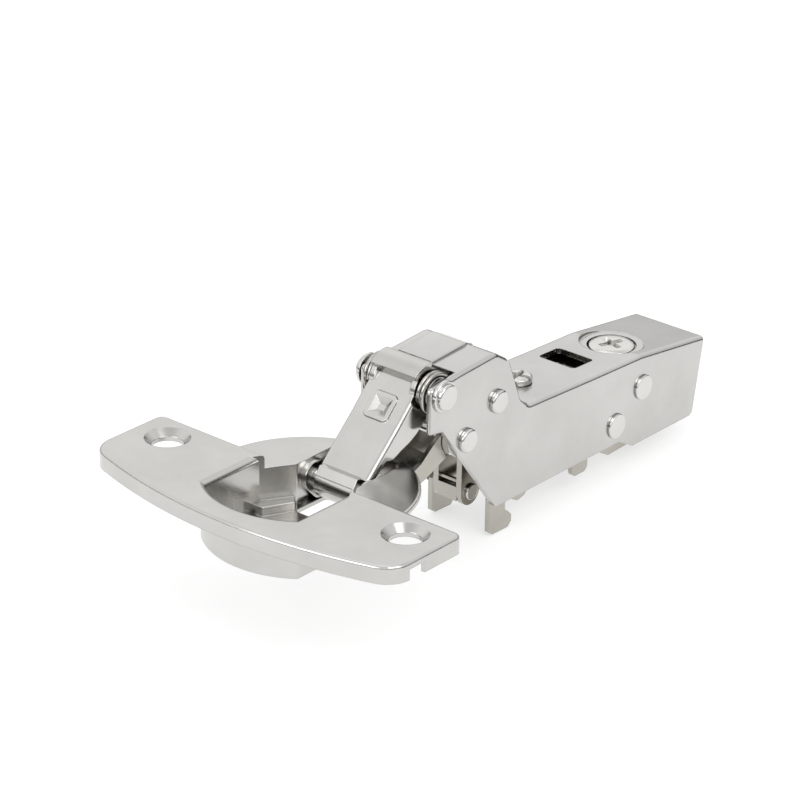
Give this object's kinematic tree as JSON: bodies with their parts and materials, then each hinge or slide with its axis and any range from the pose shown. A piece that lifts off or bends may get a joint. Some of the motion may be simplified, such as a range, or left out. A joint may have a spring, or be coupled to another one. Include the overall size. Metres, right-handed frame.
{
  "type": "concealed cup hinge",
  "caption": "Concealed cup hinge, open at a right angle, with drilled-in cup, folding links, adjustable arm, damper and clip-on channel.",
  "frame": {"origin": "axis of the cup on the face of the door, where the flange's underside lies", "axes": "+X from the cup to the rear of the arm, +Y along the door's edge, +Z out of the door's face; boss axis is -Z"},
  "size_m": [0.1196, 0.066, 0.0367],
  "materials": {
    "nickel_cup": "satin nickel plate on drawn steel",
    "nickel_arm": "satin nickel plate on folded steel",
    "nickel_link": "satin nickel plate on stamped steel",
    "nickel_inner": "nickel plate on stamped steel, seldom touched",
    "rivet_steel": "bright nickel-plated rivet",
    "spring_steel": "drawn spring wire",
    "screw_steel": "nickel-plated screw",
    "damper_plastic": "moulded damper body"
  },
  "bodies": {
    "mount": {"mount_channel": "nickel_inner", "latch_pin": "rivet_steel"},
    "slider": {"rear_rivet": "rivet_steel", "depth_block": "nickel_inner"},
    "depth_adjuster": {"depth_screw": "screw_steel"},
    "arm": {"arm_housing": "nickel_arm", "link_rivet": "rivet_steel", "link_bush": "rivet_steel", "closing_spring_near": "spring_steel", "closing_spring_far": "spring_steel", "inner_link_rivet": "rivet_steel", "inner_link_washer_near": "rivet_steel", "inner_link_washer_far": "rivet_steel", "lever_rivet": "rivet_steel", "damper_rivet": "rivet_steel", "damper_cylinder": "damper_plastic"},
    "side_adjuster": {"side_screw": "screw_steel"},
    "outer_link": {"outer_link": "nickel_link"},
    "cup": {"cup": "nickel_cup", "cup_pin_outer": "rivet_steel", "cup_pin_inner": "rivet_steel"},
    "inner_link": {"inner_link": "nickel_inner"},
    "lever": {"control_lever": "nickel_inner", "lever_pin": "rivet_steel"},
    "damper_rod": {"damper_rod": "nickel_inner"},
    "latch": {"release_latch": "nickel_inner", "latch_spring": "spring_steel"}
  },
  "joints": [
    {"name": "depth_slide", "type": "slide", "parent": "mount", "child": "slider", "axis": [1, 0, 0], "range_m": [-0.002, 0.002]},
    {"name": "depth_turn", "type": "hinge", "parent": "slider", "child": "depth_adjuster", "pos_m": [0.081, 0, -0.002], "axis": [0, 0, 1], "range_deg": [-181, 181]},
    {"name": "side_tilt", "type": "hinge", "parent": "slider", "child": "arm", "pos_m": [0.08, 0, -0.0065], "axis": [0, 1, 0], "range_deg": [-1.2, 1.2]},
    {"name": "side_turn", "type": "hinge", "parent": "arm", "child": "side_adjuster", "pos_m": [0.0545, 0, 0], "axis": [0, 0, 1], "range_deg": [-181, 181]},
    {"name": "fold", "type": "hinge", "parent": "arm", "child": "outer_link", "pos_m": [0.0247, 0, 0.0108], "axis": [0, 1, 0], "range_deg": [-45, 0]},
    {"name": "cup_turn", "type": "hinge", "parent": "outer_link", "child": "cup", "pos_m": [0.0092, 0, -0.0029], "axis": [0, 1, 0], "range_deg": [0, 135.1]},
    {"name": "inner_link_turn", "type": "hinge", "parent": "cup", "child": "inner_link", "pos_m": [0.0141, 0, -0.004], "axis": [0, 1, 0], "range_deg": [-135.1, 0]},
    {"name": "lever_swing", "type": "hinge", "parent": "arm", "child": "lever", "pos_m": [0.0391, 0, 0.0049], "axis": [0, 1, 0], "range_deg": [-9.01, 0]},
    {"name": "damper_stroke", "type": "slide", "parent": "arm", "child": "damper_rod", "axis": [0.9985, 0, 0.0555], "range_m": [0, 0.00288]},
    {"name": "latch_press", "type": "hinge", "parent": "mount", "child": "latch", "pos_m": [0.089, 0, -0.0095], "axis": [0, 1, 0], "range_deg": [0, 6], "stiffness_Nm_per_rad": 0.03, "springref_deg": -11.46}
  ],
  "couplings": [
    {"joint": "depth_turn", "follows": "depth_slide", "rad_per_m": 1570.7},
    {"joint": "side_turn", "follows": "side_tilt", "ratio": 149.9},
    {"joint": "cup_turn", "follows": "fold", "ratio": -3},
    {"joint": "inner_link_turn", "follows": "fold", "ratio": 3},
    {"joint": "lever_swing", "follows": "fold", "ratio": 0.2},
    {"joint": "damper_stroke", "follows": "fold", "m_per_rad": -0.003654}
  ]
}
